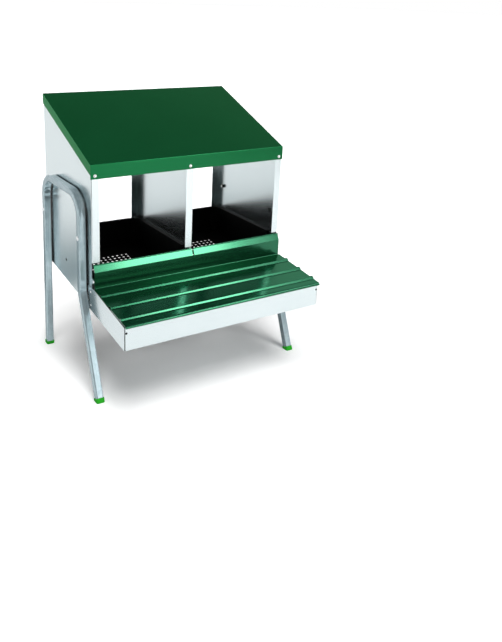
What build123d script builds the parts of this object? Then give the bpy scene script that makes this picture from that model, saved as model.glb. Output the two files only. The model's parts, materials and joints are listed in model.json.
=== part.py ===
from build123d import *
from math import asin, cos, hypot, radians, sin, tan
import os

# Two-nest hen box: a folded sheet box on two bent-tube leg frames, with a hinged lid over an egg tray.
# Millimetres. The origin is on the ground under the middle of the whole object, +Z is up, -Y is the front.
# A depth is measured back from the front face of the box, a height up from the ground.

# Sheet metal and clearances
sheet = 1.0
bend = 2.0
fit_gap = 0.3
run_gap = 0.05

# Box
box_width = 600.0
box_depth = 342.0
front_flange = 22.0
rear_flange = 24.0
floor_pitch = 7.0
tray_foot = 203.0

# Roof
eave_height = 627.5
ridge_height = 764.0
roof_gap = 0.5
eave_lip = 38.5
verge_lip = 29.0
ridge_lip = 25.0
roof_screw_inset = 8.5

# Egg tray
tray_reach = 201.0
tray_wall = 61.5
tray_overlap = 26.0
tray_tab = 10.0
tray_tab_inset = 8.0
corner_gap = 1.0
corner_relief = 2.4
corner_rivet_drop = 14.0
corner_rivet_inset = 4.0
tray_rivet_edge = 16.0
tray_rivet_low = 14.0
tray_rivet_drop = 13.5

# Lid over the egg tray
sill_rise = 46.5
sill_setback = 5.0
sill_bead = 1.8
sill_clearance = 2.5
strip_drop = 18.0
upstand_setback = 13.0
deck_drop = 18.5
deck_clearance = 0.5
lid_side_gap = 0.8
nose_reach = 7.5
nose_rise = 7.5
nose_drop = 6.5
nose_bend = 6.0
rib_first = 42.0
rib_pitch = 60.0
rib_width = 14.0
rib_crest = 8.0
rib_height = 5.0
rib_round = 0.4
rib_margin = 20.0
lid_swing = 50.0
slit_width = 5.0
slit_clearance = 2.0

# Lid hinge
hinge_setback = 6.5
hinge_height = 314.5
ear_radius = 5.5
lug_radius = 5.0
lug_root = 16.0
pin_radius = 2.0
pin_head_radius = 4.0
pin_head_height = 1.8
pin_tail_radius = 3.2
pin_tail_height = 1.2
pin_end_play = 0.2

# Nest basins and mats
rim_height = 357.0
rim_front = 40.0
rim_flange = 9.0
basin_gap = 1.0
basin_wall = 2.5
basin_taper = 7.5
basin_corner = 30.0
basin_front = 4.0
basin_ledge = 7.0
peg_depth = 189.0
peg_drop = 45.0
peg_radius = 4.0
peg_collar = 7.0
mat_rise = 13.3
mat_thickness = 3.5
mat_gap = 0.6
mat_hole_radius = 4.9
mat_hole_pitch = 14.8
mat_side_edge = 50.0
mat_first_row = 34.0
mat_rear_edge = 60.0

# Rear rail
rail_depth = 26.0
rail_upright = 26.0

# Leg frames
tube = 20.0
tube_wall = 1.5
tube_corner = 3.0
frame_height = 547.5
frame_bend = 60.0
kink_bend = 45.0
kink_height = 276.0
front_leg_depth = 40.0
front_foot_reach = 70.0
rear_leg_inset = 39.0
rear_foot_inset = 28.0
leg_clearance = 0.4
cap_wall = 1.6
cap_base = 3.0
cap_height = 9.5
cap_round = 1.2
cap_gap = 0.15

# Fasteners
bolt_radius = 3.0
bolt_head_radius = 6.2
bolt_head_height = 3.4
bolt_end = 2.0
front_bolt_height = 424.0
rear_bolt_height = 434.0
spacer_radius = 4.5
washer_radius = 6.5
washer_thickness = 1.2
nut_flats = 10.0
nut_thickness = 5.0
screw_radius = 2.0
screw_length = 11.0
screw_head_radius = 4.6
screw_head_height = 2.6
rivet_radius = 2.0
rivet_head_radius = 4.0
small_rivet_radius = 1.6
small_rivet_head = 3.0
rivet_head_height = 1.5
rivet_tail_radius = 3.2
rivet_tail_height = 1.2

# Planes and faces worked out from the sizes
front_reach = tray_reach + nose_reach
rear_reach = box_depth + roof_gap + sheet + screw_head_height
front_y = (front_reach - rear_reach) / 2
side_plane = Plane(origin=(0, front_y, 0), x_dir=(0, 1, 0), z_dir=(1, 0, 0))
front_plane = Plane(origin=(0, front_y, 0), x_dir=(1, 0, 0), z_dir=(0, -1, 0))
plan_plane = Plane(origin=(0, front_y, 0))
outside_x = box_width / 2
inside_x = outside_x - sheet
tray_inside_x = outside_x + fit_gap
tray_outside_x = tray_inside_x + sheet
verge_x = outside_x + roof_gap
upstand_x = inside_x - lid_side_gap
leg_gap = fit_gap + sheet + rivet_head_height + leg_clearance
leg_x = outside_x + leg_gap + tube / 2
rear_leg_depth = box_depth - rear_leg_inset
rear_foot_depth = box_depth - rear_foot_inset
slope = tan(radians(floor_pitch))
level = 1 / cos(radians(floor_pitch))
roof_front = -roof_gap - sheet
roof_rear = box_depth + roof_gap + sheet
roof_slope = (ridge_height - eave_height) / (roof_rear - roof_front)
roof_drop = sheet * hypot(1, roof_slope) + roof_gap
sill_height = hinge_height + sill_rise
flange_foot = sill_height + sill_clearance
tray_lip = tray_foot + tray_wall
strip_top = sill_height - sill_bead
slit_foot = strip_top - strip_drop
deck_height = hinge_height - deck_drop
nose_height = tray_lip + nose_rise
deck_slope = (deck_height - nose_height) / (front_reach - upstand_setback)
deck_level = hypot(1, deck_slope)
peg_height = rim_height - peg_drop
drill = 8 * sheet


def base_line(depth):
    """Height of the sloping lower face of the egg tray, carried on under the box."""
    return tray_foot + (depth + tray_reach) * slope


def panel_foot(depth):
    """Height of the lower edge of the box sides and partition, just over the tray's floor."""
    return base_line(depth) + sheet * level + fit_gap


def roof_top(depth):
    """Height of the upper face of the roof."""
    return eave_height + (depth - roof_front) * roof_slope


def deck_line(depth):
    """Height of the upper face of the lid's deck between its ribs."""
    return deck_height + (depth + upstand_setback) * deck_slope


def basin_foot(depth):
    """Height of the underside of the basins, where the rear rail carries them."""
    return base_line(depth) + mat_rise - (mat_thickness + basin_wall) * level


def rear_leg_at(height):
    """Depth of the rear leg's centre line at a height."""
    lean = (rear_foot_depth - rear_leg_depth) / (frame_height - tube / 2)
    return rear_foot_depth - height * lean


def at_side(x, depth, height, outward):
    """Plane across X at a depth and a height, facing right if outward is +1 and left if it is -1."""
    return Plane(origin=(x, front_y + depth, height), x_dir=(0, 1, 0), z_dir=(outward, 0, 0))


def at_front(x, depth, height, backward=-1):
    """Plane across Y at a depth and a height, facing the front, or the back if backward is +1."""
    return Plane(origin=(x, front_y + depth, height), x_dir=(1, 0, 0), z_dir=(0, backward, 0))


def facing_up(face):
    """How far a face points up, from -1 to +1."""
    return face.normal_at().Z


def folded_plan(face_x, inward):
    """Plan of a panel whose ends are folded to the right if inward is +1, to the left if it is -1."""
    with BuildSketch() as plan:
        with BuildLine():
            FilletPolyline(
                (face_x + inward * front_flange, 0),
                (face_x, 0),
                (face_x, box_depth),
                (face_x + inward * rear_flange, box_depth),
                radius=bend,
            )
            offset(amount=sheet, side=Side.RIGHT if inward > 0 else Side.LEFT)
        make_face()
    return plan.sketch


def headed_pin(head_radius, head_height, radius, grip, tail_radius, tail_height):
    """Dome head above Z = 0, a shank as long as the grip below it, and a tail on the shank's end."""
    ball = (head_radius**2 + head_height**2) / (2 * head_height)
    half_turn = asin(head_radius / ball) / 2
    shoulder = (ball * sin(half_turn), head_height - ball * (1 - cos(half_turn)))
    with BuildPart() as piece:
        with BuildSketch(Plane.XZ):
            with BuildLine():
                Polyline(
                    (0, head_height),
                    (0, -grip - tail_height),
                    (tail_radius, -grip - tail_height),
                    (tail_radius, -grip),
                    (radius, -grip),
                    (radius, 0),
                    (head_radius, 0),
                )
                ThreePointArc((head_radius, 0), shoulder, (0, head_height))
            make_face()
        revolve(axis=Axis.Z)
    return piece.part


def ring(outer, inner, thickness):
    """Washer with its lower face at Z = 0."""
    with BuildPart() as piece:
        with BuildSketch():
            Circle(outer)
            Circle(inner, mode=Mode.SUBTRACT)
        extrude(amount=thickness)
    return piece.part


# Places of the fasteners
leg_bolt_places = [
    (front_leg_depth, front_bolt_height),
    (rear_leg_at(rear_bolt_height), rear_bolt_height),
]
wall_front = sheet + fit_gap - tray_reach
wall_rear = -upstand_setback - sheet
wall_height = deck_line(wall_rear) - sheet * deck_level - deck_clearance
tray_rivet_depth = tray_overlap - tray_rivet_edge
tray_rivet_places = [
    (tray_rivet_depth, base_line(tray_rivet_depth) + tray_rivet_low),
    (tray_rivet_depth, wall_height - tray_rivet_drop),
]
front_screw_height = eave_height - eave_lip + roof_screw_inset
rear_screw_height = ridge_height - ridge_lip + roof_screw_inset
front_fold_xs = [front_flange / 2 - outside_x, (sheet - front_flange) / 2, outside_x - front_flange / 2]
rear_fold_xs = [rear_flange / 2 - outside_x, (sheet - rear_flange) / 2, outside_x - rear_flange / 2]
rail_inside = box_depth - 2 * sheet
rail_front = rail_inside - rail_depth
rail_top = basin_foot(rail_inside) + rail_upright
rail_rivet_height = rail_top - rail_upright / 2
corner_rivet_x = tray_inside_x - corner_rivet_inset
corner_rivet_height = tray_lip - corner_rivet_drop


# Roof: a pan with a lip on all four sides, hollowed from a block with rounded upper edges
with BuildPart() as roof_panel:
    with BuildSketch(side_plane):
        with BuildLine():
            Polyline(
                (roof_front, eave_height - eave_lip),
                (roof_front, eave_height),
                (roof_rear, ridge_height),
                (roof_rear, ridge_height - eave_lip),
                close=True,
            )
        make_face()
    extrude(amount=verge_x + sheet, both=True)
    fillet(roof_panel.faces().sort_by(facing_up)[-1].edges(), radius=bend)
    offset(amount=-sheet, openings=roof_panel.faces().sort_by(facing_up)[0])
    with BuildSketch(side_plane):
        with BuildLine():
            Polyline(
                (roof_front + sheet, roof_top(roof_front + sheet) - verge_lip),
                (roof_rear - sheet, roof_top(roof_rear - sheet) - verge_lip),
                (roof_rear - sheet, ridge_height - ridge_lip),
                (roof_rear, ridge_height - ridge_lip),
                (roof_rear, eave_height - eave_lip),
                (roof_front + sheet, eave_height - eave_lip),
                close=True,
            )
        make_face()
    extrude(amount=box_width, both=True, mode=Mode.SUBTRACT)
    with Locations([at_front(x, 0, front_screw_height) for x in front_fold_xs]):
        Cylinder(screw_radius + run_gap, drill, mode=Mode.SUBTRACT)
    with Locations([at_front(x, box_depth, rear_screw_height) for x in rear_fold_xs]):
        Cylinder(screw_radius + run_gap, drill, mode=Mode.SUBTRACT)


# Left side panel, folded in at the front and the rear, with the lug that carries the hinge pin
with BuildPart() as left_side_panel:
    with BuildSketch(plan_plane):
        add(folded_plan(-outside_x, 1))
    extrude(amount=ridge_height)
    with BuildSketch(side_plane):
        with BuildLine():
            Polyline(
                (0, panel_foot(0)),
                (box_depth, panel_foot(box_depth)),
                (box_depth, roof_top(box_depth) - roof_drop),
                (0, roof_top(0) - roof_drop),
                close=True,
            )
        make_face()
    extrude(amount=-box_width, mode=Mode.INTERSECT)
    with BuildSketch(side_plane):
        with Locations((bend / 2, flange_foot / 2)):
            Rectangle(bend, flange_foot)
    extrude(amount=-box_width, mode=Mode.SUBTRACT)
    with BuildSketch(side_plane.offset(-outside_x)):
        with Locations((-hinge_setback, hinge_height)):
            Circle(lug_radius)
        with BuildLine():
            Polyline(
                (-hinge_setback, hinge_height + lug_radius),
                (bend, hinge_height + lug_root / 2),
                (bend, hinge_height - lug_root / 2),
                (-hinge_setback, hinge_height - lug_radius),
                close=True,
            )
        make_face()
    extrude(amount=sheet)
    with Locations(at_side(-outside_x, -hinge_setback, hinge_height, -1)):
        Cylinder(pin_radius + run_gap, drill, mode=Mode.SUBTRACT)
    with Locations([at_side(-outside_x, *place, -1) for place in leg_bolt_places]):
        Cylinder(bolt_radius + run_gap, drill, mode=Mode.SUBTRACT)
    with Locations([at_side(-outside_x, *place, -1) for place in tray_rivet_places]):
        Cylinder(rivet_radius + run_gap, drill, mode=Mode.SUBTRACT)
    with Locations(at_side(-outside_x, peg_depth, peg_height, -1)):
        Cylinder(peg_radius + fit_gap, drill, mode=Mode.SUBTRACT)
    with Locations(
        at_front(front_fold_xs[0], 0, front_screw_height),
        at_front(rear_fold_xs[0], box_depth, rear_screw_height),
    ):
        Cylinder(screw_radius + run_gap, drill, mode=Mode.SUBTRACT)
    with Locations(at_front(rear_fold_xs[0], box_depth, rail_rivet_height)):
        Cylinder(rivet_radius + run_gap, drill, mode=Mode.SUBTRACT)

with BuildPart() as right_side_panel:
    mirror(left_side_panel.part, about=Plane.YZ)


# Partition between the nests, notched at the back for the rail
with BuildPart() as centre_partition:
    with BuildSketch(plan_plane):
        add(folded_plan(sheet / 2, -1))
    extrude(amount=ridge_height)
    swing = radians(lid_swing)
    fold_behind = upstand_setback - sheet - hinge_setback
    fold_reach = (slit_foot - hinge_height) * sin(swing) - fold_behind * cos(swing) - hinge_setback
    cut_back = fold_reach + slit_clearance
    notch_front = rail_front - fit_gap
    notch_face = rail_inside - fit_gap
    notch_rear = box_depth - sheet
    with BuildSketch(side_plane):
        with BuildLine():
            Polyline(
                (cut_back, panel_foot(cut_back)),
                (notch_front, panel_foot(notch_front)),
                (notch_front, basin_foot(notch_front) + fit_gap),
                (notch_face, basin_foot(notch_face) + fit_gap),
                (notch_face, rail_top + fit_gap),
                (notch_rear, rail_top + fit_gap),
                (notch_rear, panel_foot(notch_rear)),
                (box_depth, panel_foot(box_depth)),
                (box_depth, roof_top(box_depth) - roof_drop),
                (0, roof_top(0) - roof_drop),
                (0, flange_foot),
                (cut_back, flange_foot),
                close=True,
            )
        make_face()
    extrude(amount=box_width, both=True, mode=Mode.INTERSECT)
    with Locations(
        at_front(front_fold_xs[1], 0, front_screw_height),
        at_front(rear_fold_xs[1], box_depth, rear_screw_height),
    ):
        Cylinder(screw_radius + run_gap, drill, mode=Mode.SUBTRACT)
    with Locations(at_front(rear_fold_xs[1], box_depth, rail_rivet_height)):
        Cylinder(rivet_radius + run_gap, drill, mode=Mode.SUBTRACT)


# Angle across the lower back: a ledge under the basins and an upright against the rear folds
with BuildPart() as rear_rail:
    with BuildSketch(side_plane):
        with BuildLine():
            FilletPolyline(
                (rail_front, basin_foot(rail_front)),
                (rail_inside, basin_foot(rail_inside)),
                (rail_inside, rail_top),
                radius=bend - sheet,
            )
            offset(amount=sheet, side=Side.RIGHT)
        make_face()
    extrude(amount=outside_x - bend - fit_gap, both=True)
    with Locations([at_front(x, rail_inside, rail_rivet_height) for x in rear_fold_xs]):
        Cylinder(rivet_radius + run_gap, drill, mode=Mode.SUBTRACT)


# Egg tray: sloping floor, front wall with open corners, sides lapped over the box sides
with BuildPart() as egg_tray:
    with BuildSketch(side_plane):
        with BuildLine():
            FilletPolyline(
                (tray_overlap, base_line(tray_overlap)),
                (-tray_reach, tray_foot),
                (-tray_reach, tray_lip),
                radius=bend,
            )
            offset(amount=sheet, side=Side.RIGHT)
        make_face()
    extrude(amount=tray_outside_x, both=True)
    with BuildSketch(front_plane.offset(tray_reach - sheet)):
        for side in (-1, 1):
            with BuildLine():
                Polyline(
                    (side * tray_outside_x, tray_foot + bend),
                    (side * tray_outside_x, tray_lip),
                    (side * (tray_inside_x - corner_gap), tray_lip),
                    (side * (tray_inside_x - corner_gap), tray_foot + bend),
                    close=True,
                )
            make_face()
    extrude(amount=sheet, mode=Mode.SUBTRACT)
    for side in (-1, 1):
        with BuildSketch(side_plane.offset(side * tray_inside_x)):
            with BuildLine():
                Polyline(
                    (wall_front, base_line(wall_front)),
                    (tray_overlap, base_line(tray_overlap)),
                    (tray_overlap, wall_height),
                    (wall_rear, wall_height),
                    (wall_front, tray_lip),
                    close=True,
                )
            make_face()
        extrude(amount=side * sheet)
        tab_height = tray_wall - 2 * tray_tab_inset
        with BuildSketch(front_plane.offset(-wall_front)):
            with Locations((side * (tray_outside_x - (tray_tab + sheet) / 2), tray_foot + tray_wall / 2)):
                Rectangle(tray_tab + sheet, tab_height)
        extrude(amount=-sheet)
    with Locations([at_front(side * corner_rivet_x, -tray_reach, corner_rivet_height) for side in (-1, 1)]):
        Cylinder(small_rivet_radius + run_gap, drill, mode=Mode.SUBTRACT)
    with Locations([at_front(side * tray_inside_x, -tray_reach, tray_foot + bend) for side in (-1, 1)]):
        Cylinder(corner_relief, drill, mode=Mode.SUBTRACT)
    with Locations(
        [at_side(side * tray_inside_x, *place, side) for side in (-1, 1) for place in tray_rivet_places]
    ):
        Cylinder(rivet_radius + run_gap, drill, mode=Mode.SUBTRACT)


# Lid: sill strip, upstand and ribbed deck folded from one sheet, with ears for the hinge pins
lid_outline = [
    (-sill_setback, strip_top),
    (-upstand_setback, slit_foot),
    (-upstand_setback, deck_height),
]
rib_room = front_reach - upstand_setback - rib_first - rib_margin
for rib in range(int(rib_room / rib_pitch) + 1):
    middle = -upstand_setback - rib_first - rib * rib_pitch
    for offset_from_middle, rise in (
        (rib_width / 2, 0),
        (rib_crest / 2, rib_height),
        (-rib_crest / 2, rib_height),
        (-rib_width / 2, 0),
    ):
        depth = middle + offset_from_middle
        lid_outline.append((depth, deck_line(depth) + rise))
lid_outline.append((-front_reach, deck_line(-front_reach)))
lid_outline.append((-front_reach, deck_line(-front_reach) - nose_drop))
rib_bends = [rib_round * rib_height] * (len(lid_outline) - 5)
lid_bends = [bend, bend, *rib_bends, nose_bend]
with BuildPart() as egg_tray_lid:
    with BuildSketch(side_plane):
        with BuildLine():
            FilletPolyline(*lid_outline, radius=lid_bends)
            offset(amount=sheet, side=Side.LEFT)
        make_face()
    extrude(amount=tray_outside_x, both=True)
    shoulder = upstand_setback + sheet + bend
    with BuildSketch(plan_plane):
        for side in (-1, 1):
            with Locations((side * (upstand_x + box_width / 2), box_depth - shoulder)):
                Rectangle(box_width, 2 * box_depth)
    extrude(amount=ridge_height, mode=Mode.SUBTRACT)
    with BuildSketch(side_plane):
        with Locations((-sill_setback, strip_top)):
            Circle(sill_bead)
    extrude(amount=upstand_x, both=True)
    for side in (-1, 1):
        with BuildSketch(side_plane.offset(side * upstand_x)):
            with Locations((-hinge_setback, hinge_height)):
                Circle(ear_radius)
            ear_root = upstand_setback - sheet / 2
            with Locations((-(hinge_setback + ear_root) / 2, hinge_height)):
                Rectangle(ear_root - hinge_setback, 2 * ear_radius)
        extrude(amount=-side * sheet)
    with Locations(at_side(0, -hinge_setback, hinge_height, 1)):
        Cylinder(pin_radius + run_gap, box_width, mode=Mode.SUBTRACT)
    with BuildSketch(front_plane):
        with Locations((0, sill_height)):
            Rectangle(slit_width, 2 * (sill_height - slit_foot))
    extrude(amount=2 * upstand_setback, mode=Mode.SUBTRACT)


# Hinge pins through the lugs of the box sides and the ears of the lid
hinge_grip = outside_x - upstand_x + sheet + pin_end_play
hinge_pin = headed_pin(
    pin_head_radius, pin_head_height, pin_radius, hinge_grip, pin_tail_radius, pin_tail_height
)
with BuildPart() as left_hinge_pin:
    with Locations(at_side(-outside_x, -hinge_setback, hinge_height, -1)):
        add(hinge_pin)

with BuildPart() as right_hinge_pin:
    with Locations(at_side(outside_x, -hinge_setback, hinge_height, 1)):
        add(hinge_pin)


# Nest basin: flared walls with a rim on a sloping frame that carries the mat, open to the front
basin_x = (inside_x + sheet / 2) / 2
rim_half = (inside_x - sheet / 2) / 2 - basin_gap
rim_rear = box_depth - sheet - basin_gap
flare = tan(radians(basin_taper))
ledge_top = mat_rise - mat_thickness * level
ledge_foot = ledge_top - basin_wall * level
floor_drop = rim_height - base_line(0) - mat_rise
floor_rear = (rim_rear - rim_flange - floor_drop * flare) / (1 - slope * flare)
floor_corner = basin_corner - (floor_drop - floor_rear * slope) * flare


def floor_half(depth):
    """Half the clear width between the basin's walls at the mat's upper face."""
    return rim_half - rim_flange - (floor_drop - depth * slope) * flare


def tub(inset):
    """Flared block from the rim down, standing inside the rim's edge by inset and running out in front."""
    with BuildPart() as block:
        with BuildSketch(plan_plane.offset(rim_height)):
            with Locations((-basin_x, rim_rear - inset - box_depth)):
                RectangleRounded(2 * (rim_half - inset), 2 * box_depth, basin_corner + rim_flange - inset)
        extrude(amount=-(rim_height - tray_foot), taper=basin_taper)
    return block.part


def below_floor(rise):
    """Side outline of all that lies under a plane parallel to the tray's floor, by rise above its lower face."""
    with BuildSketch() as outline:
        with BuildLine():
            Polyline(
                (-2 * box_depth, base_line(-2 * box_depth) + rise),
                (2 * box_depth, base_line(2 * box_depth) + rise),
                (2 * box_depth, -box_depth),
                (-2 * box_depth, -box_depth),
                close=True,
            )
        make_face()
    return outline.sketch


def floor_outline(inset):
    """Outline in plan of the basin's floor, inset from its walls, with rounded rear corners."""
    front = basin_front + inset
    rear = floor_rear - inset
    with BuildSketch() as outline:
        with BuildLine():
            FilletPolyline(
                (-floor_half(front) + inset, front),
                (-floor_half(rear) + inset, rear),
                (floor_half(rear) - inset, rear),
                (floor_half(front) - inset, front),
                radius=[floor_corner, floor_corner],
            )
            Line((floor_half(front) - inset, front), (-floor_half(front) + inset, front))
        make_face()
    return outline.sketch


with BuildPart() as basin_hollow:
    add(tub(rim_flange))
    with BuildSketch(side_plane):
        add(below_floor(ledge_top))
    extrude(amount=-box_width, mode=Mode.SUBTRACT)

with BuildPart() as left_nest_basin:
    add(tub(rim_flange - basin_wall))
    with BuildSketch(plan_plane.offset(rim_height)):
        with Locations((-basin_x, rim_rear - box_depth)):
            RectangleRounded(2 * rim_half, 2 * box_depth, basin_corner + rim_flange)
    extrude(amount=-basin_wall)
    with BuildSketch(side_plane):
        add(below_floor(ledge_foot))
    extrude(amount=-box_width, mode=Mode.SUBTRACT)
    add(basin_hollow.part, mode=Mode.SUBTRACT)
    with BuildSketch(Plane(origin=(-basin_x, front_y, rim_height))):
        add(floor_outline(basin_ledge))
    extrude(amount=-rim_height, mode=Mode.SUBTRACT)
    with BuildSketch(side_plane):
        with BuildLine():
            Polyline(
                (basin_front, 0),
                (basin_front, base_line(basin_front) + mat_rise),
                (rim_front, rim_height - basin_wall),
                (rim_front, rim_height),
                (-2 * box_depth, rim_height),
                (-2 * box_depth, 0),
                close=True,
            )
        make_face()
    extrude(amount=-box_width, mode=Mode.SUBTRACT)
    lip_foot = panel_foot(basin_front + basin_wall)
    lip_top = base_line(basin_front) + ledge_top
    with BuildSketch(front_plane.offset(-basin_front)):
        with Locations((-basin_x, (lip_foot + lip_top) / 2)):
            Rectangle(2 * (floor_half(basin_front) - basin_ledge), lip_top - lip_foot)
    extrude(amount=-basin_wall)
    wall_half = rim_half - rim_flange + basin_wall / 2 - (rim_height - peg_height) * flare
    collar_length = inside_x - fit_gap - basin_x - wall_half
    with BuildSketch(at_side(-basin_x - wall_half, peg_depth, peg_height, -1)):
        Circle(peg_collar)
    extrude(amount=collar_length)
    with BuildSketch(at_side(-basin_x - wall_half - collar_length, peg_depth, peg_height, -1)):
        Circle(peg_radius)
    extrude(amount=fit_gap + sheet)

with BuildPart() as right_nest_basin:
    mirror(left_nest_basin.part, about=Plane.YZ)


# Perforated mats on the ledges of the basins
mat_plane = Plane(
    origin=(-basin_x, front_y, base_line(0) + mat_rise),
    x_dir=(1, 0, 0),
    z_dir=(0, -sin(radians(floor_pitch)), cos(radians(floor_pitch))),
)
mat_half = floor_half(basin_front + mat_gap) - mat_gap
mat_columns = int(2 * (mat_half - mat_side_edge - mat_hole_radius) / mat_hole_pitch) + 1
mat_rows = int((floor_rear - mat_gap - mat_first_row - mat_rear_edge) * level / mat_hole_pitch) + 1
mat_run = (mat_rows - 1) * mat_hole_pitch
with BuildPart() as left_nest_mat:
    with BuildSketch(Plane(origin=(-basin_x, front_y, rim_height))):
        add(floor_outline(mat_gap))
    extrude(amount=-rim_height)
    with BuildSketch(side_plane):
        add(below_floor(ledge_top))
    extrude(amount=-box_width, mode=Mode.SUBTRACT)
    with BuildSketch(side_plane):
        add(below_floor(mat_rise))
    extrude(amount=-box_width, mode=Mode.INTERSECT)
    with BuildSketch(mat_plane):
        with Locations((0, mat_first_row * level + mat_run / 2)):
            with GridLocations(mat_hole_pitch, mat_hole_pitch, mat_columns, mat_rows):
                Circle(mat_hole_radius)
    extrude(amount=2 * mat_thickness, both=True, mode=Mode.SUBTRACT)

with BuildPart() as right_nest_mat:
    mirror(left_nest_mat.part, about=Plane.YZ)


# Leg frame: one square tube, bent to an arch, with the front leg kinked forward
leg_plane = side_plane.offset(-leg_x)
front_lean = (front_leg_depth + front_foot_reach) / kink_height
arch_height = frame_height - tube / 2
leg_route = [
    (-front_foot_reach - tube * front_lean, -tube),
    (front_leg_depth, kink_height),
    (front_leg_depth, arch_height),
    (rear_leg_depth, arch_height),
    (rear_leg_at(-tube), -tube),
]


def square_tube(plane, side, corner, length):
    """Square bar with rounded edges, along both ways from a plane."""
    with BuildPart() as bar:
        with BuildSketch(plane):
            RectangleRounded(side, side, corner)
        extrude(amount=length, both=True)
    return bar.part


with BuildPart() as left_leg_frame:
    with BuildLine(leg_plane) as leg_line:
        FilletPolyline(*leg_route, radius=[kink_bend, frame_bend, frame_bend])
    with BuildSketch(Plane(origin=leg_line.line @ 0, x_dir=(1, 0, 0), z_dir=leg_line.line % 0)):
        RectangleRounded(tube, tube, tube_corner)
        RectangleRounded(tube - 2 * tube_wall, tube - 2 * tube_wall, tube_corner - tube_wall, mode=Mode.SUBTRACT)
    sweep()
    split(bisect_by=Plane.XY.offset(cap_base), keep=Keep.TOP)
    with Locations([at_side(-leg_x, *place, -1) for place in leg_bolt_places]):
        Cylinder(bolt_radius + run_gap, 2 * tube, mode=Mode.SUBTRACT)

with BuildPart() as right_leg_frame:
    mirror(left_leg_frame.part, about=Plane.YZ)


def foot_cap(depth, lean):
    """Cap on a left leg whose centre line meets the ground at depth and leans back by lean for each unit up."""
    axis_plane = Plane(origin=(-leg_x, front_y + depth, 0), x_dir=(1, 0, 0), z_dir=(0, lean, 1))
    cap_side = tube + 2 * (cap_gap + cap_wall)
    socket_side = tube + 2 * cap_gap
    socket = square_tube(axis_plane, socket_side, tube_corner + cap_gap, 2 * cap_height)
    with BuildPart() as seat:
        add(socket)
        split(bisect_by=Plane.XY.offset(cap_base), keep=Keep.TOP)
    with BuildPart() as cap:
        add(square_tube(axis_plane, cap_side, tube_corner + cap_gap + cap_wall, cap_height))
        split(bisect_by=Plane.XY, keep=Keep.TOP)
        fillet(cap.faces().sort_by(facing_up)[0].edges(), radius=cap_round)
        add(seat.part, mode=Mode.SUBTRACT)
    return cap.part


with BuildPart() as front_left_foot_cap:
    add(foot_cap(-front_foot_reach, front_lean))

with BuildPart() as rear_left_foot_cap:
    add(foot_cap(rear_foot_depth, rear_leg_at(1) - rear_leg_at(0)))

with BuildPart() as front_right_foot_cap:
    mirror(front_left_foot_cap.part, about=Plane.YZ)

with BuildPart() as rear_right_foot_cap:
    mirror(rear_left_foot_cap.part, about=Plane.YZ)


# Leg bolts from the outside, with spacers between tube and box, and washers and nuts inside
sides_and_places = [(side, place) for side in (-1, 1) for place in leg_bolt_places]
bolt_grip = tube + leg_gap + sheet + washer_thickness + nut_thickness
leg_bolt = headed_pin(bolt_head_radius, bolt_head_height, bolt_radius, bolt_grip, bolt_radius - run_gap, bolt_end)
with BuildPart() as leg_bolts:
    with Locations([at_side(side * (leg_x + tube / 2), *place, side) for side, place in sides_and_places]):
        add(leg_bolt)

with BuildPart() as leg_spacers:
    with Locations([at_side(side * outside_x, *place, side) for side, place in sides_and_places]):
        add(ring(spacer_radius, bolt_radius + run_gap, leg_gap))

with BuildPart() as leg_washers:
    with Locations([at_side(side * inside_x, *place, -side) for side, place in sides_and_places]):
        add(ring(washer_radius, bolt_radius + run_gap, washer_thickness))

with BuildPart() as leg_nut:
    with BuildSketch():
        RegularPolygon(nut_flats / 2, 6, major_radius=False)
        Circle(bolt_radius + run_gap, mode=Mode.SUBTRACT)
    extrude(amount=nut_thickness)

with BuildPart() as leg_nuts:
    nut_x = inside_x - washer_thickness
    with Locations([at_side(side * nut_x, *place, -side) for side, place in sides_and_places]):
        add(leg_nut.part)


# Screws along the front and rear lips of the roof
roof_screw = headed_pin(
    screw_head_radius, screw_head_height, screw_radius, screw_length, screw_radius / 2, screw_radius
)
with BuildPart() as roof_screws:
    with Locations([at_front(x, roof_front, front_screw_height) for x in front_fold_xs]):
        add(roof_screw)
    with Locations([at_front(x, roof_rear, rear_screw_height, 1) for x in rear_fold_xs]):
        add(roof_screw)


def rivet(grip, radius=rivet_radius, head_radius=rivet_head_radius):
    """Blind rivet through a stack of sheets as thick as the grip."""
    return headed_pin(head_radius, rivet_head_height, radius, grip, rivet_tail_radius, rivet_tail_height)


# Rivets: tray sides to box sides, tray corners, and rail to the rear folds
with BuildPart() as tray_rivets:
    with Locations(
        [at_side(side * tray_outside_x, *place, side) for side in (-1, 1) for place in tray_rivet_places]
    ):
        add(rivet(2 * sheet + fit_gap))

with BuildPart() as tray_corner_rivets:
    with Locations([at_front(side * corner_rivet_x, -tray_reach, corner_rivet_height) for side in (-1, 1)]):
        add(rivet(2 * sheet + fit_gap, small_rivet_radius, small_rivet_head))

with BuildPart() as rail_rivets:
    with Locations([at_front(x, box_depth, rail_rivet_height, 1) for x in rear_fold_xs]):
        add(rivet(2 * sheet))


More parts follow.
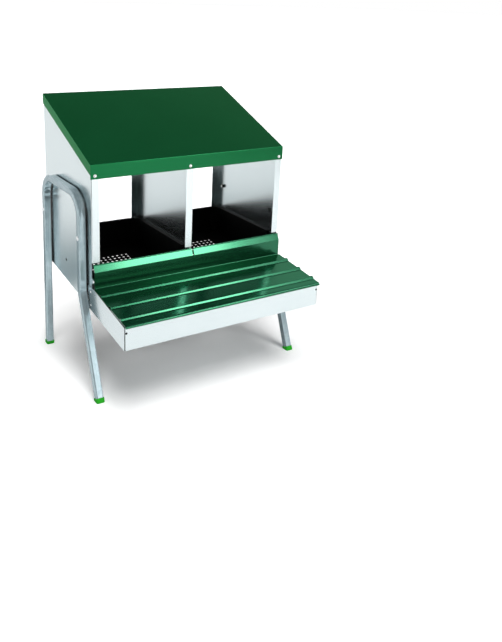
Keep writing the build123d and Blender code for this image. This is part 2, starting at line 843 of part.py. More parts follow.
pieces = {
    "roof_panel": roof_panel,
    "left_side_panel": left_side_panel,
    "right_side_panel": right_side_panel,
    "centre_partition": centre_partition,
    "rear_rail": rear_rail,
    "egg_tray": egg_tray,
    "egg_tray_lid": egg_tray_lid,
    "left_hinge_pin": left_hinge_pin,
    "right_hinge_pin": right_hinge_pin,
    "left_nest_basin": left_nest_basin,
    "right_nest_basin": right_nest_basin,
    "left_nest_mat": left_nest_mat,
    "right_nest_mat": right_nest_mat,
    "left_leg_frame": left_leg_frame,
    "right_leg_frame": right_leg_frame,
    "front_left_foot_cap": front_left_foot_cap,
    "rear_left_foot_cap": rear_left_foot_cap,
    "front_right_foot_cap": front_right_foot_cap,
    "rear_right_foot_cap": rear_right_foot_cap,
    "leg_bolts": leg_bolts,
    "leg_spacers": leg_spacers,
    "leg_washers": leg_washers,
    "leg_nuts": leg_nuts,
    "roof_screws": roof_screws,
    "tray_rivets": tray_rivets,
    "tray_corner_rivets": tray_corner_rivets,
    "rail_rivets": rail_rivets,
}
os.makedirs("parts", exist_ok=True)
for name, piece in pieces.items():
    piece.part.label = name
    export_step(piece.part, f"parts/{name}.step")
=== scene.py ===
import json
import math

import bpy
import numpy as np
from mathutils import Matrix, Vector


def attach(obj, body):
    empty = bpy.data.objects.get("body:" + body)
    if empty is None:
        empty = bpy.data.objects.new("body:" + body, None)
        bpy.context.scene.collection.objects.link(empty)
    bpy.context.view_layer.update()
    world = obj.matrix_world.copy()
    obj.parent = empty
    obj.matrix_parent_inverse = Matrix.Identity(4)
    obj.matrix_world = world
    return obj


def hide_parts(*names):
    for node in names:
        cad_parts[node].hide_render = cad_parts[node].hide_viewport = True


# Two-nest hen box on bent-tube legs: galvanised sheet, green painted roof and lid, black nest basins.
# Metres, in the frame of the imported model: +Z is up and -Y is the front.
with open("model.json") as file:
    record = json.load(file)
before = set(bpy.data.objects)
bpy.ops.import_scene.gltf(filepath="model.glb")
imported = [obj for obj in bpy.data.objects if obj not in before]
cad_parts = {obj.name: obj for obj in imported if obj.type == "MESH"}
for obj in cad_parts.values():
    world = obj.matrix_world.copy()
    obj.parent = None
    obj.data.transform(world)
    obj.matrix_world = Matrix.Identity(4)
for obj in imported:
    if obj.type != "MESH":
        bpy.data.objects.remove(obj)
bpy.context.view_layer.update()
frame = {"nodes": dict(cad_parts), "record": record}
nodes = frame["nodes"]
scene = bpy.context.scene
scene.view_settings.view_transform = "Standard"

# Camera: its place, its turn and the point of the picture that it looks at, in pixels
image_width = 502
image_height = 642
aim_x = 215.0
aim_y = 200.0
focal_pixels = 722.5
yaw = 0.5664
pitch = 0.2757
roll = -0.0346
camera_place = Vector((-0.9809, -1.7257, 1.0463))

forward = Vector((math.sin(yaw) * math.cos(pitch), math.cos(yaw) * math.cos(pitch), -math.sin(pitch)))
level_right = Vector((math.cos(yaw), -math.sin(yaw), 0.0))
level_down = forward.cross(level_right)
right = level_right * math.cos(roll) + level_down * math.sin(roll)
down = level_down * math.cos(roll) - level_right * math.sin(roll)
lens = bpy.data.cameras.new("photo_camera")
lens.sensor_width = 36.0
lens.lens = focal_pixels * lens.sensor_width / image_height
lens.shift_x = (image_width / 2 - aim_x) / image_height
lens.shift_y = (aim_y - image_height / 2) / image_height
lens.clip_start = 0.01
lens.clip_end = 200.0
camera = bpy.data.objects.new("photo_camera", lens)
camera_turn = Matrix((right, -down, -forward)).transposed().to_4x4()
camera.matrix_world = Matrix.Translation(camera_place) @ camera_turn
scene.collection.objects.link(camera)
scene.camera = camera


def add_node(tree, kind, inputs=None, **settings):
    """A new node with its settings, and each named input linked to a socket or set to a value."""
    made = tree.nodes.new(kind)
    for name, value in settings.items():
        setattr(made, name, value)
    for name, value in (inputs or {}).items():
        if isinstance(value, bpy.types.NodeSocket):
            tree.links.new(value, made.inputs[name])
        else:
            made.inputs[name].default_value = value
    return made


def math_node(tree, operation, first, second):
    """Output of a sum, product or other operation on two values or sockets."""
    return add_node(tree, "ShaderNodeMath", {0: first, 1: second}, operation=operation).outputs[0]


def product(tree, first, *others):
    """All the given shares multiplied."""
    for other in others:
        first = math_node(tree, "MULTIPLY", first, other)
    return first


def distance_from(tree, value, line):
    """How far a coordinate lies from a line, to either side."""
    return math_node(tree, "ABSOLUTE", math_node(tree, "SUBTRACT", value, line), 0.0)


def rising(tree, value, band):
    """Share that goes from 0 at the band's first value to 1 at its second."""
    start, end = band
    inputs = {"Value": value, "From Min": start, "From Max": end}
    return add_node(tree, "ShaderNodeMapRange", inputs).outputs[0]


def axes_of(tree, place):
    """The three coordinates of a place."""
    return add_node(tree, "ShaderNodeSeparateXYZ", {0: place}).outputs


def mixed_colour(tree, share, first, second):
    """Colour between two others, by a share from 0 to 1."""
    blend = add_node(tree, "ShaderNodeMix", {0: share, 6: first, 7: second}, data_type="RGBA")
    return blend.outputs[2]


def scaled(tree, vector, scale):
    """Coordinates stretched by a factor along each axis."""
    return add_node(tree, "ShaderNodeMapping", {"Vector": vector, "Scale": scale}).outputs[0]


def noise(tree, vector, scale, detail=2.0, roughness=0.5):
    """Soft noise from 0 to 1, with scale features in a metre."""
    inputs = {"Vector": vector, "Scale": scale, "Detail": detail, "Roughness": roughness}
    return add_node(tree, "ShaderNodeTexNoise", inputs).outputs[0]


def new_group(name, inputs, outputs):
    """Shader node group with named float or vector inputs and float outputs."""
    group = bpy.data.node_groups.new(name, "ShaderNodeTree")
    for label, kind in inputs:
        group.interface.new_socket(label, in_out="INPUT", socket_type=kind)
    for label in outputs:
        group.interface.new_socket(label, in_out="OUTPUT", socket_type="NodeSocketFloat")
    return group, group.nodes.new("NodeGroupInput").outputs, group.nodes.new("NodeGroupOutput").inputs


# Zinc surface: frosty spangle, drawn streaks along one way, and a slow sway of the sheet
wander_scale = 45.0
wander_reach = 0.012
zinc_cloud_scale = 9.0
zinc_cloud_share = 0.35
sway_scale = 6.0
streak_relief_share = 0.05
gloss_loss_share = 0.04
zinc_relief_strength = 0.5

zinc_group, given, result = new_group(
    "zinc_surface",
    [
        ("Place", "NodeSocketVector"),
        ("Streak Place", "NodeSocketVector"),
        ("Spangle Scale", "NodeSocketFloat"),
        ("Spangle Depth", "NodeSocketFloat"),
        ("Streak Depth", "NodeSocketFloat"),
    ],
    ["Tone", "Gloss Loss", "Height"],
)
wander = add_node(
    zinc_group, "ShaderNodeTexNoise", {"Vector": given["Place"], "Scale": wander_scale, "Detail": 2.0}
)
bent_place = add_node(
    zinc_group, "ShaderNodeVectorMath", {0: wander.outputs["Color"], "Scale": wander_reach}, operation="SCALE"
)
spangle_place = add_node(
    zinc_group, "ShaderNodeVectorMath", {0: given["Place"], 1: bent_place.outputs[0]}, operation="ADD"
)
spangle = add_node(
    zinc_group, "ShaderNodeTexVoronoi", {"Vector": spangle_place.outputs[0], "Scale": given["Spangle Scale"]}
)
crystal = add_node(zinc_group, "ShaderNodeSeparateColor", {0: spangle.outputs["Color"]}).outputs[0]
streak = noise(zinc_group, given["Streak Place"], 1.0, roughness=0.6)
cloud = noise(zinc_group, given["Place"], zinc_cloud_scale, detail=3.0)
streak_part = product(zinc_group, streak, given["Streak Depth"])
zinc_marks = math_node(zinc_group, "ADD", product(zinc_group, crystal, given["Spangle Depth"]), streak_part)
zinc_tone = math_node(zinc_group, "ADD", zinc_marks, product(zinc_group, cloud, zinc_cloud_share))
zinc_group.links.new(zinc_tone, result["Tone"])
zinc_group.links.new(math_node(zinc_group, "ADD", zinc_marks, cloud), result["Gloss Loss"])
sway = noise(zinc_group, given["Place"], sway_scale, detail=1.0)
fine_streak = product(zinc_group, streak_part, streak_relief_share)
zinc_group.links.new(math_node(zinc_group, "ADD", sway, fine_streak), result["Height"])


# Moulded or sprayed skin: a fine pebbled grain over slow clouds of tone
skin_cloud_scale = 6.0
skin_gloss_spread = 0.1
skin_relief_strength = 0.35

skin_group, given, result = new_group(
    "fine_skin",
    [("Place", "NodeSocketVector"), ("Grain Scale", "NodeSocketFloat")],
    ["Cloud", "Grain"],
)
skin_group.links.new(noise(skin_group, given["Place"], skin_cloud_scale, detail=4.0), result["Cloud"])
skin_group.links.new(noise(skin_group, given["Place"], given["Grain Scale"], detail=1.5), result["Grain"])


def new_finish(name):
    """Material with an empty Principled shader, its tree and the piece's own coordinates."""
    finish = bpy.data.materials.new(name)
    finish.use_nodes = True
    tree = finish.node_tree
    shader = tree.nodes["Principled BSDF"]
    place = tree.nodes.new("ShaderNodeTexCoord").outputs
    return finish, tree, shader, place


def add_bump(tree, shader, height, distance, strength):
    """Small relief from a height between 0 and 1, in metres."""
    bump = add_node(tree, "ShaderNodeBump", {"Height": height, "Distance": distance, "Strength": strength})
    tree.links.new(bump.outputs[0], shader.inputs["Normal"])


def zinc_finish(name, dull, bright, roughness, streak_scale, spangle_scale, spangle_depth, streak_depth,
                relief, along="Object", metallic=1.0, edge_tint=1.0, shade_painter=None):
    """Zinc coated steel between a dull and a bright tone, with streaks along the axis of least scale.

    The optional function of the tree and the piece's coordinates gives a share of painted shade from 0 to 1.
    """
    finish, tree, shader, place = new_finish(name)
    surface = add_node(tree, "ShaderNodeGroup", node_tree=zinc_group)
    tree.links.new(place["Object"], surface.inputs["Place"])
    tree.links.new(scaled(tree, place[along], streak_scale), surface.inputs["Streak Place"])
    surface.inputs["Spangle Scale"].default_value = spangle_scale
    surface.inputs["Spangle Depth"].default_value = spangle_depth
    surface.inputs["Streak Depth"].default_value = streak_depth
    colour = mixed_colour(tree, surface.outputs["Tone"], (*dull, 1), (*bright, 1))
    # Painted shade: the colour darkens towards near-black by the given share
    if shade_painter:
        colour = mixed_colour(tree, shade_painter(tree, place["Object"]), colour, painted_shade_colour)
    tree.links.new(colour, shader.inputs["Base Color"])
    loss = product(tree, surface.outputs["Gloss Loss"], gloss_loss_share)
    tree.links.new(math_node(tree, "ADD", loss, roughness), shader.inputs["Roughness"])
    shader.inputs["Metallic"].default_value = metallic
    shader.inputs["Specular Tint"].default_value = (edge_tint, edge_tint, edge_tint, 1)
    add_bump(tree, shader, surface.outputs["Height"], relief, zinc_relief_strength)
    return finish


def skin_finish(name, deep, pale, roughness, grain_scale, relief, constants):
    """Plastic or paint between a deep and a pale tone, with a fine grain.

    constants are values of the shader's own sockets, the same all over the surface.
    """
    finish, tree, shader, place = new_finish(name)
    skin = add_node(tree, "ShaderNodeGroup", node_tree=skin_group)
    tree.links.new(place["Object"], skin.inputs["Place"])
    skin.inputs["Grain Scale"].default_value = grain_scale
    colour = mixed_colour(tree, skin.outputs["Cloud"], (*deep, 1), (*pale, 1))
    tree.links.new(colour, shader.inputs["Base Color"])
    spread = product(tree, skin.outputs["Cloud"], skin_gloss_spread)
    tree.links.new(math_node(tree, "ADD", spread, roughness), shader.inputs["Roughness"])
    for socket, value in constants.items():
        shader.inputs[socket].default_value = value
    add_bump(tree, shader, skin.outputs["Grain"], relief, skin_relief_strength)
    return finish


# Leg line as depth behind the box front and height, and the tube's section
leg_x = 0.3132
front_y = -0.0688
tube_half = 0.010
tube_corner = 0.003
foot_clear = 0.003
leg_route = np.array([(-0.070, 0.0), (0.040, 0.276), (0.040, 0.5375), (0.303, 0.5375), (0.314, 0.0)])
bend_radii = np.array([0.045, 0.060, 0.060])

# Painted shade in the narrow gaps: each band goes from unshaded at its first value to fully shaded at its
# second
painted_shade_colour = (0.012, 0.014, 0.016, 1)
thin_painted_shade = 0.45
tube_inner_band = (0.3046, 0.3034)
panel_foot_band = (0.235, 0.255)
arch_band = (0.545, 0.500)
panel_face_band = (0.2994, 0.2999)
upright_band = (0.0105, 0.0085)
upright_end_band = (0.530, 0.480)
seam_inner_band = (0.2990, 0.2992)
seam_outer_band = (0.3012, 0.3010)
seam_front_band = (-0.2697, -0.2695)
seam_rear_band = (-0.2678, -0.2682)


def gap_painted_shade(tree, place):
    """Painted shade on a leg's inner side: strong where it faces the panel, weaker below the panel and on the
    arch.
    """
    across, _, height = axes_of(tree, place)
    inward = rising(tree, distance_from(tree, across, 0.0), tube_inner_band)
    above = rising(tree, height, panel_foot_band)
    under_arch = rising(tree, height, arch_band)
    shade_strength = math_node(tree, "MAXIMUM", math_node(tree, "MINIMUM", above, under_arch), thin_painted_shade)
    return product(tree, inward, shade_strength)


def panel_painted_shade(tree, place):
    """Painted shade on the outside of a box side: a band behind each upright of the leg, up to the arch.

    The front upright stands straight. The rear one leans back by the same amount for each unit down.
    """
    across, depth, height = axes_of(tree, place)
    outward = rising(tree, distance_from(tree, across, 0.0), panel_face_band)
    arch_rear, foot_rear = leg_route[3], leg_route[4]
    lean = float((foot_rear[0] - arch_rear[0]) / arch_rear[1])
    front_line = float(front_y + leg_route[2][0])
    rear_line = float(front_y + foot_rear[0])
    upright_depth = math_node(tree, "ADD", depth, product(tree, height, lean))
    from_front = distance_from(tree, depth, front_line)
    from_rear = distance_from(tree, upright_depth, rear_line)
    behind = rising(tree, math_node(tree, "MINIMUM", from_front, from_rear), upright_band)
    return product(tree, outward, behind, rising(tree, height, upright_end_band))


def seam_painted_shade(tree, place):
    """Painted shade in the open seam at each front corner of the tray, behind its front face."""
    across, depth, _ = axes_of(tree, place)
    from_middle = distance_from(tree, across, 0.0)
    return product(
        tree,
        rising(tree, from_middle, seam_inner_band),
        rising(tree, from_middle, seam_outer_band),
        rising(tree, depth, seam_front_band),
        rising(tree, depth, seam_rear_band),
    )


# Galvanised sheet, with its drawn streaks upright or level
sheet_marks = {
    "dull": (0.67, 0.755, 0.77),
    "bright": (0.80, 0.868, 0.88),
    "roughness": 0.205,
    "spangle_scale": 70.0,
    "spangle_depth": 0.08,
    "streak_depth": 0.35,
    "relief": 0.0001,
}
upright_streaks = (150.0, 150.0, 2.0)
level_streaks = (2.0, 150.0, 150.0)
upright_sheet = zinc_finish("galvanised_sheet_upright", streak_scale=upright_streaks, **sheet_marks)
# The box sides carry painted shade behind the leg uprights, and the tray painted shade in its front corner
# seams
panel_sheet = zinc_finish(
    "galvanised_sheet_panel", streak_scale=upright_streaks, shade_painter=panel_painted_shade, **sheet_marks
)
level_sheet = zinc_finish("galvanised_sheet_level", streak_scale=level_streaks, **sheet_marks)
tray_sheet = zinc_finish("galvanised_sheet_tray", streak_scale=level_streaks, shade_painter=seam_painted_shade, **sheet_marks)

# Galvanised tube, duller than the sheet, with streaks along its own chart, and painted shade on its inner
# side
leg_zinc = zinc_finish(
    "galvanised_tube",
    dull=(0.15, 0.26, 0.30),
    bright=(0.56, 0.68, 0.72),
    roughness=0.20,
    streak_scale=(5.0, 300.0, 1.0),
    spangle_scale=90.0,
    spangle_depth=0.20,
    streak_depth=0.9,
    relief=0.0001,
    along="UV",
    metallic=0.65,
    edge_tint=0.7,
    shade_painter=gap_painted_shade,
)

# Plated fasteners, and the whiter heads of the roof screws
plated_marks = {
    "bright": (0.92, 0.93, 0.94),
    "streak_scale": (400.0, 400.0, 400.0),
    "spangle_scale": 500.0,
    "spangle_depth": 0.3,
    "streak_depth": 0.3,
    "relief": 0.00001,
}
bright_zinc = zinc_finish("zinc_fastener", dull=(0.78, 0.80, 0.82), roughness=0.14, **plated_marks)
screw_zinc = zinc_finish(
    "zinc_screw_head", dull=(0.80, 0.82, 0.83), roughness=0.20, metallic=0.3, **plated_marks
)

# Gloss paint of the roof and the lid: one green paint in two copies, the roof's more yellow and saturated
# than the lid's, a painted difference that stands in for the different light and reflections on each
roof_paint = skin_finish(
    "green_paint_roof",
    deep=(0.0045, 0.124, 0.036),
    pale=(0.006, 0.142, 0.044),
    roughness=0.16,
    grain_scale=900.0,
    relief=0.00003,
    constants={
        "Metallic": 0.72,
        "Specular Tint": (0.2, 0.8, 0.5, 1),
        "Coat Weight": 0.12,
        "Coat Roughness": 0.1,
    },
)
lid_paint = skin_finish(
    "green_paint_lid",
    deep=(0.018, 0.120, 0.060),
    pale=(0.021, 0.140, 0.070),
    roughness=0.13,
    grain_scale=900.0,
    relief=0.000008,
    constants={
        "Metallic": 0.88,
        "Specular Tint": (0.2, 0.65, 0.45, 1),
        "Coat Weight": 0.25,
        "Coat Roughness": 0.1,
    },
)

# Matt plastic of the tubs, mats and foot caps, and blackened steel
black_plastic = skin_finish(
    "black_plastic",
    deep=(0.0012, 0.0013, 0.0014),
    pale=(0.0025, 0.0027, 0.0029),
    roughness=0.45,
    grain_scale=700.0,
    relief=0.0001,
    constants={"Specular IOR Level": 0.05},
)
mat_plastic = skin_finish(
    "nest_mat_plastic",
    deep=(0.0015, 0.0014, 0.0014),
    pale=(0.003, 0.0028, 0.0028),
    roughness=0.5,
    grain_scale=1200.0,
    relief=0.0001,
    constants={"Specular IOR Level": 0.12},
)
black_steel = skin_finish(
    "black_fastener",
    deep=(0.004, 0.004, 0.005),
    pale=(0.008, 0.008, 0.009),
    roughness=0.4,
    grain_scale=600.0,
    relief=0.00005,
    constants={"Specular IOR Level": 0.2},
)
green_plastic = skin_finish(
    "green_plastic",
    deep=(0.017, 0.31, 0.014),
    pale=(0.026, 0.39, 0.022),
    roughness=0.55,
    grain_scale=800.0,
    relief=0.00008,
    constants={"Specular IOR Level": 0.1},
)

finishes = {
    "green_paint": roof_paint,
    "black_plastic": black_plastic,
    "green_plastic": green_plastic,
    "zinc_fastener": bright_zinc,
    "black_fastener": black_steel,
    "galvanised_sheet": upright_sheet,
}
special_finishes = {
    "left_side_panel": panel_sheet,
    "right_side_panel": panel_sheet,
    "egg_tray_lid": lid_paint,
    "egg_tray": tray_sheet,
    "roof_screws": screw_zinc,
    "rear_rail": level_sheet,
    "left_nest_mat": mat_plastic,
    "right_nest_mat": mat_plastic,
}
for row in frame["record"]["subparts"]:
    name = row["node"]
    nodes[name].data.materials.clear()
    nodes[name].data.materials.append(special_finishes.get(name, finishes[row["material_slot"]]))


# Leg tubes, with the walls drawn in where the tube is bent
ring_step = 0.002
ease_rings = 23
wall_points = 7
corner_points = 4
crush_outside = 0.0022
crush_inside = 0.0030
crush_bulge = 0.0006
crush_power = 4
ripple_pitch = 0.026
ripple_share = 0.8


def tube_line():
    """Points, headings and bend shares along the tube's centre line, from the front foot to the rear foot.

    The heading is steady on each straight and turns at an even rate in each bend, and the line is the
    running sum of the heading. The bend share is 0 on a straight, and 1 or -1 well inside a bend: the rate of
    turning times the largest bend radius, eased along the tube by a bell-shaped window.
    """
    runs = np.diff(leg_route, axis=0)
    lengths = np.hypot(runs[:, 0], runs[:, 1])
    headings = np.arctan2(runs[:, 1], runs[:, 0])
    turns = np.diff(headings)
    trims = bend_radii * np.tan(np.abs(turns) / 2)
    straights = lengths - np.append(trims, 0) - np.append(0, trims)
    arcs = bend_radii * np.abs(turns)
    marks = np.append(0, np.cumsum(np.ravel(np.column_stack((straights, np.append(arcs, 0))))))[:-1]
    travel = np.linspace(0, marks[-1], int(marks[-1] / ring_step) + 1)
    heading = np.interp(travel, marks, np.repeat(headings, 2))
    middle = (heading[1:] + heading[:-1]) / 2
    steps = np.column_stack((np.cos(middle), np.sin(middle))) * np.diff(travel)[:, None]
    line = leg_route[0] + np.vstack((np.zeros(2), np.cumsum(steps, axis=0)))
    rate = np.gradient(heading, travel)
    window = np.hanning(ease_rings)
    share = np.convolve(rate * bend_radii.max(), window / window.sum(), mode="same")
    return travel, line, heading, np.clip(share, -1, 1)


def leg_tube(name, side):
    """Square tube carried along the leg's line: a rounded square whose outer wall sinks in the bends.

    Round the tube, a point lies at the corner circle's centre plus the corner radius, with straight walls
    between the corners. In a bend the wall on the outside of the turn sinks in its middle, the wall on the
    inside is pressed in with even ripples along the tube, a sine of the distance along it, and the side walls
    bulge, all by the bend share and by one minus the square of the distance from the wall's middle. A high
    power of the distance from the tube's middle keeps each of the three to its own wall.
    """
    travel, line, heading, share = tube_line()
    keep = line[:, 1] >= foot_clear
    travel, line, heading, share = travel[keep], line[keep], heading[keep], share[keep]
    core = tube_half - tube_corner
    wall = np.linspace(-1, 1, wall_points) * core
    corner = np.linspace(0, np.pi / 2, corner_points + 2)[1:-1]
    quarter = np.vstack((
        np.column_stack((np.full(wall_points, tube_half), wall)),
        np.column_stack((core + tube_corner * np.cos(corner), core + tube_corner * np.sin(corner))),
    ))
    quarter_turn = np.array([[0, -1], [1, 0]])
    section = np.vstack([quarter @ np.linalg.matrix_power(quarter_turn, k).T for k in range(4)])
    out, across = section[:, 0], section[:, 1]
    amount = np.abs(share)[:, None]
    turn_sign = np.where(share > 0, -1, 1)[:, None]
    outward = out[None, :] * turn_sign
    crown = 1 - (across / tube_half) ** 2
    sink = crush_outside * np.clip(outward / tube_half, 0, 1) ** crush_power * crown
    ripple = 1 + ripple_share * np.sin(2 * np.pi * travel / ripple_pitch)
    rise = crush_inside * ripple[:, None] * np.clip(-outward / tube_half, 0, 1) ** crush_power * crown
    radial = out[None, :] + turn_sign * amount * (rise - sink)
    bulge = crush_bulge * (np.abs(across) / tube_half) ** crush_power * (1 - (out / tube_half) ** 2)
    sideways = across[None, :] + np.sign(across)[None, :] * amount * bulge[None, :]
    normal_depth, normal_height = -np.sin(heading)[:, None], np.cos(heading)[:, None]
    rings, points = radial.shape
    places = np.empty((rings, points, 3))
    places[..., 0] = side * (leg_x + sideways)
    places[..., 1] = front_y + line[:, :1] + radial * normal_depth
    places[..., 2] = line[:, 1:] + radial * normal_height
    ring = np.arange(rings - 1)[:, None]
    point = np.arange(points)[None, :]
    after = (point + 1) % points
    corners = np.stack((
        ring * points + point, ring * points + after, (ring + 1) * points + after, (ring + 1) * points + point
    ), axis=-1).reshape(-1, 4)
    if side < 0:
        corners = corners[:, ::-1]
    first_end = np.arange(points)
    last_end = first_end + (rings - 1) * points
    ends = [first_end[::-1], last_end] if side > 0 else [first_end, last_end[::-1]]
    faces = corners.tolist() + [end.tolist() for end in ends]
    mesh = bpy.data.meshes.new(name)
    mesh.from_pydata(places.reshape(-1, 3).tolist(), [], faces)
    around = np.append(0, np.cumsum(np.hypot(*np.diff(np.vstack((section, section[:1])), axis=0).T)))
    along_at = np.repeat(travel, points)
    around_at = np.tile(around[:points], rings)
    loop_vertex = np.empty(len(mesh.loops), dtype=np.int64)
    mesh.loops.foreach_get("vertex_index", loop_vertex)
    chart = np.column_stack((along_at[loop_vertex], around_at[loop_vertex]))
    mesh.uv_layers.new(name="along_tube").data.foreach_set("uv", chart.ravel().astype(np.float32))
    mesh.polygons.foreach_set("use_smooth", np.ones(len(mesh.polygons), dtype=bool))
    mesh.materials.append(leg_zinc)
    mesh.update()
    tube = bpy.data.objects.new(name, mesh)
    scene.collection.objects.link(tube)
    return tube


for side_name, side in (("left", -1), ("right", 1)):
    tube = leg_tube(f"{side_name}_leg_tube", side)
    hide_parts(f"{side_name}_leg_frame")
    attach(tube, "frame")


def background_share(tree):
    """1 for a ray that sees the background straight, in a reflection or through glass, and otherwise 0."""
    ray = tree.nodes.new("ShaderNodeLightPath").outputs
    seen = math_node(tree, "ADD", ray["Is Camera Ray"], ray["Is Glossy Ray"])
    return math_node(tree, "MINIMUM", math_node(tree, "ADD", seen, ray["Is Transmission Ray"]), 1.0)


# Floor: pale and matt, brought up to white where the camera or a reflection sees it. For the camera it is
# clear white past the feet on the left and behind, so that the shadow stays between the feet.
floor_reach = 60.0
floor_pale = (0.90, 0.90, 0.90, 1)
floor_paler = (0.93, 0.93, 0.93, 1)
floor_grain = 30.0
floor_glow = 0.10
clear_glow = 0.5
left_clear_band = (-0.28, -0.42)
rear_clear_band = (0.16, 0.38)
white = (1, 1, 1, 1)

floor_mesh = bpy.data.meshes.new("floor")
floor_mesh.from_pydata(
    [
        (-floor_reach, -floor_reach, 0),
        (floor_reach, -floor_reach, 0),
        (floor_reach, floor_reach, 0),
        (-floor_reach, floor_reach, 0),
    ],
    [],
    [(0, 1, 2, 3)],
)
floor = bpy.data.objects.new("floor", floor_mesh)
scene.collection.objects.link(floor)
floor_finish, tree, shader, place = new_finish("pale_floor")
shader.inputs["Roughness"].default_value = 1.0
shader.inputs["Specular IOR Level"].default_value = 0.0
paper = mixed_colour(tree, noise(tree, place["Object"], floor_grain), floor_pale, floor_paler)
tree.links.new(paper, shader.inputs["Base Color"])
across, depth, _ = axes_of(tree, place["Object"])
past_left = rising(tree, across, left_clear_band)
past_rear = rising(tree, depth, rear_clear_band)
past_feet = math_node(tree, "MAXIMUM", past_left, past_rear)
straight = tree.nodes.new("ShaderNodeLightPath").outputs["Is Camera Ray"]
clearing = product(tree, past_feet, straight, clear_glow)
glow = product(tree, background_share(tree), floor_glow)
tree.links.new(math_node(tree, "ADD", glow, clearing), shader.inputs["Emission Strength"])
shader.inputs["Emission Color"].default_value = white
floor_mesh.materials.append(floor_finish)


# World: white round the horizon, falling to a dark ceiling, and dimmer as a light than as a background
horizon_end = math.radians(18)
ceiling_start = math.radians(45)
ceiling_grey = (0.16, 0.16, 0.16, 1)
room_level = 0.30
seen_extra = 0.70

world = bpy.data.worlds.new("studio")
scene.world = world
world.use_nodes = True
tree = world.node_tree
direction = tree.nodes.new("ShaderNodeTexCoord").outputs["Generated"]
ramp = add_node(tree, "ShaderNodeValToRGB", {0: axes_of(tree, direction)[2]})
ramp.color_ramp.elements[0].position = math.sin(horizon_end)
ramp.color_ramp.elements[0].color = white
ramp.color_ramp.elements[1].position = math.sin(ceiling_start)
ramp.color_ramp.elements[1].color = ceiling_grey
tree.links.new(ramp.outputs[0], tree.nodes["Background"].inputs["Color"])
seen_light = product(tree, background_share(tree), seen_extra)
tree.links.new(math_node(tree, "ADD", seen_light, room_level), tree.nodes["Background"].inputs["Strength"])


def add_softbox(name, toward, target, distance, width, height, radiance):
    """Rectangular lamp of a given surface brightness, which faces a target from one side at a distance."""
    lamp = bpy.data.lights.new(name, "AREA")
    lamp.shape = "RECTANGLE"
    lamp.size = width
    lamp.size_y = height
    lamp.energy = radiance * math.pi * width * height
    box = bpy.data.objects.new(name, lamp)
    away = Vector(toward).normalized()
    box.location = Vector(target) + away * distance
    box.rotation_mode = "QUATERNION"
    box.rotation_quaternion = away.to_track_quat("Z", "Y")
    scene.collection.objects.link(box)


# Lamps: a key light in front on the right with a weaker spread behind it, and a low one on the tray's front
key_toward = (0.43, -0.81, 0.38)
key_target = (0.0, -0.08, 0.35)
low_toward = (0.38, -0.91, 0.16)
low_target = (0.0, -0.1, 0.1)
add_softbox("key_softbox", key_toward, key_target, distance=2.6, width=0.7, height=0.4, radiance=9.5)
add_softbox("key_spread", key_toward, key_target, distance=2.65, width=1.3, height=0.44, radiance=2.3)
add_softbox("front_card", low_toward, low_target, distance=2.8, width=1.6, height=0.9, radiance=0.9)

# Wide soft light from above and in front, which gives the shadow on the floor
overhead_toward = Vector((-0.06, -0.44, 1.0))
overhead = bpy.data.lights.new("overhead_light", "SUN")
overhead.energy = 2.85
overhead.angle = math.radians(36)
overhead_lamp = bpy.data.objects.new("overhead_light", overhead)
overhead_lamp.rotation_mode = "QUATERNION"
overhead_lamp.rotation_quaternion = overhead_toward.to_track_quat("Z", "Y")
overhead_lamp.location = (0.0, 0.0, 3.0)
overhead_lamp.visible_glossy = False
scene.collection.objects.link(overhead_lamp)


# Studio cards that only reflections see
card_black = (0.01, 0.01, 0.01, 1)


def add_card(name, corners, glow=0.0):
    """Flat black card through four corners, which may glow, and the tree and shader of its material."""
    mesh = bpy.data.meshes.new(name)
    mesh.from_pydata(corners, [], [(0, 1, 2, 3)])
    card = bpy.data.objects.new(name, mesh)
    card.visible_camera = False
    card.visible_diffuse = False
    card.visible_shadow = False
    scene.collection.objects.link(card)
    finish, tree, shader, place = new_finish(name)
    shader.inputs["Roughness"].default_value = 1.0
    shader.inputs["Specular IOR Level"].default_value = 0.0
    shader.inputs["Base Color"].default_value = card_black
    shader.inputs["Emission Color"].default_value = white
    shader.inputs["Emission Strength"].default_value = glow
    mesh.materials.append(finish)
    return tree, shader, place


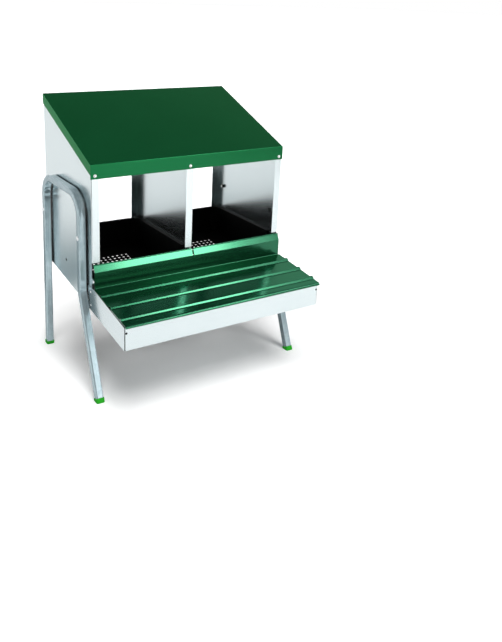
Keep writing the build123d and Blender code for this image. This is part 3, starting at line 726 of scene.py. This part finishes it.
def standing(start, end, low, high):
    """Corners of an upright card from one point of the floor to another, between two heights."""
    return [(*start, low), (*end, low), (*end, high), (*start, high)]


# Dark cards in front on the left and the right, and a white one behind on the right
add_card("dark_card", standing((-1.35, -0.80), (-0.05, -1.52), low=0.0, high=1.3))
add_card("right_card", standing((1.15, -1.95), (1.85, -1.42), low=0.30, high=0.80))
add_card("back_card", standing((0.95, 0.15), (0.95, 0.65), low=0.75, high=1.15), glow=1.0)

# Bright card high in front on the right, which the stiles mirror into the lid
high_away = Vector((0.49, -0.59, 0.64))
high_along = Vector((0.77, 0.64, 0.0))
high_distance = 2.0
high_offset = 0.25
high_half_width = 0.50
high_half_height = 0.28
high_target = Vector((0.0, -0.07, 0.43))
high_centre = high_target + high_away * high_distance + high_along * high_offset
high_side = high_along * high_half_width
high_up = high_away.cross(high_along).normalized() * high_half_height
high_corners = [
    high_centre + high_side * sideways + high_up * upward
    for sideways, upward in ((-1, -1), (1, -1), (1, 1), (-1, 1))
]
add_card("high_card", high_corners, glow=5.0)

# Card on the floor behind on the left, white at both ends and grey between, which the left side mirrors: its
# grey band is a painted shadow on the floor, seen only in reflections
card_away = Vector((-0.51, 0.86, 0.0))
card_along = Vector((0.86, 0.51, 0.0))
card_height = Vector((0.0, 0.0, 0.0015))
card_near = 0.72
card_far = 1.8
card_left = -0.9
card_right = 0.7
card_white = (0.98, 0.98, 0.98, 1)
card_shadow_grey = (0.27, 0.33, 0.35, 1)
grey_at = 0.14
card_corners = [
    card_away * away + card_along * along + card_height
    for away, along in (
        (card_near, card_left), (card_near, card_right), (card_far, card_right), (card_far, card_left)
    )
]
tree, shader, place = add_card("floor_card", card_corners)
away = add_node(tree, "ShaderNodeVectorMath", {0: place["Object"], 1: card_away}, operation="DOT_PRODUCT")
share = rising(tree, away.outputs["Value"], (card_near, card_far))
fade = add_node(tree, "ShaderNodeValToRGB", {0: share})
fade.color_ramp.interpolation = "EASE"
fade.color_ramp.elements[0].color = card_white
fade.color_ramp.elements[1].color = card_white
fade.color_ramp.elements.new(grey_at).color = card_shadow_grey
tree.links.new(fade.outputs[0], shader.inputs["Base Color"])
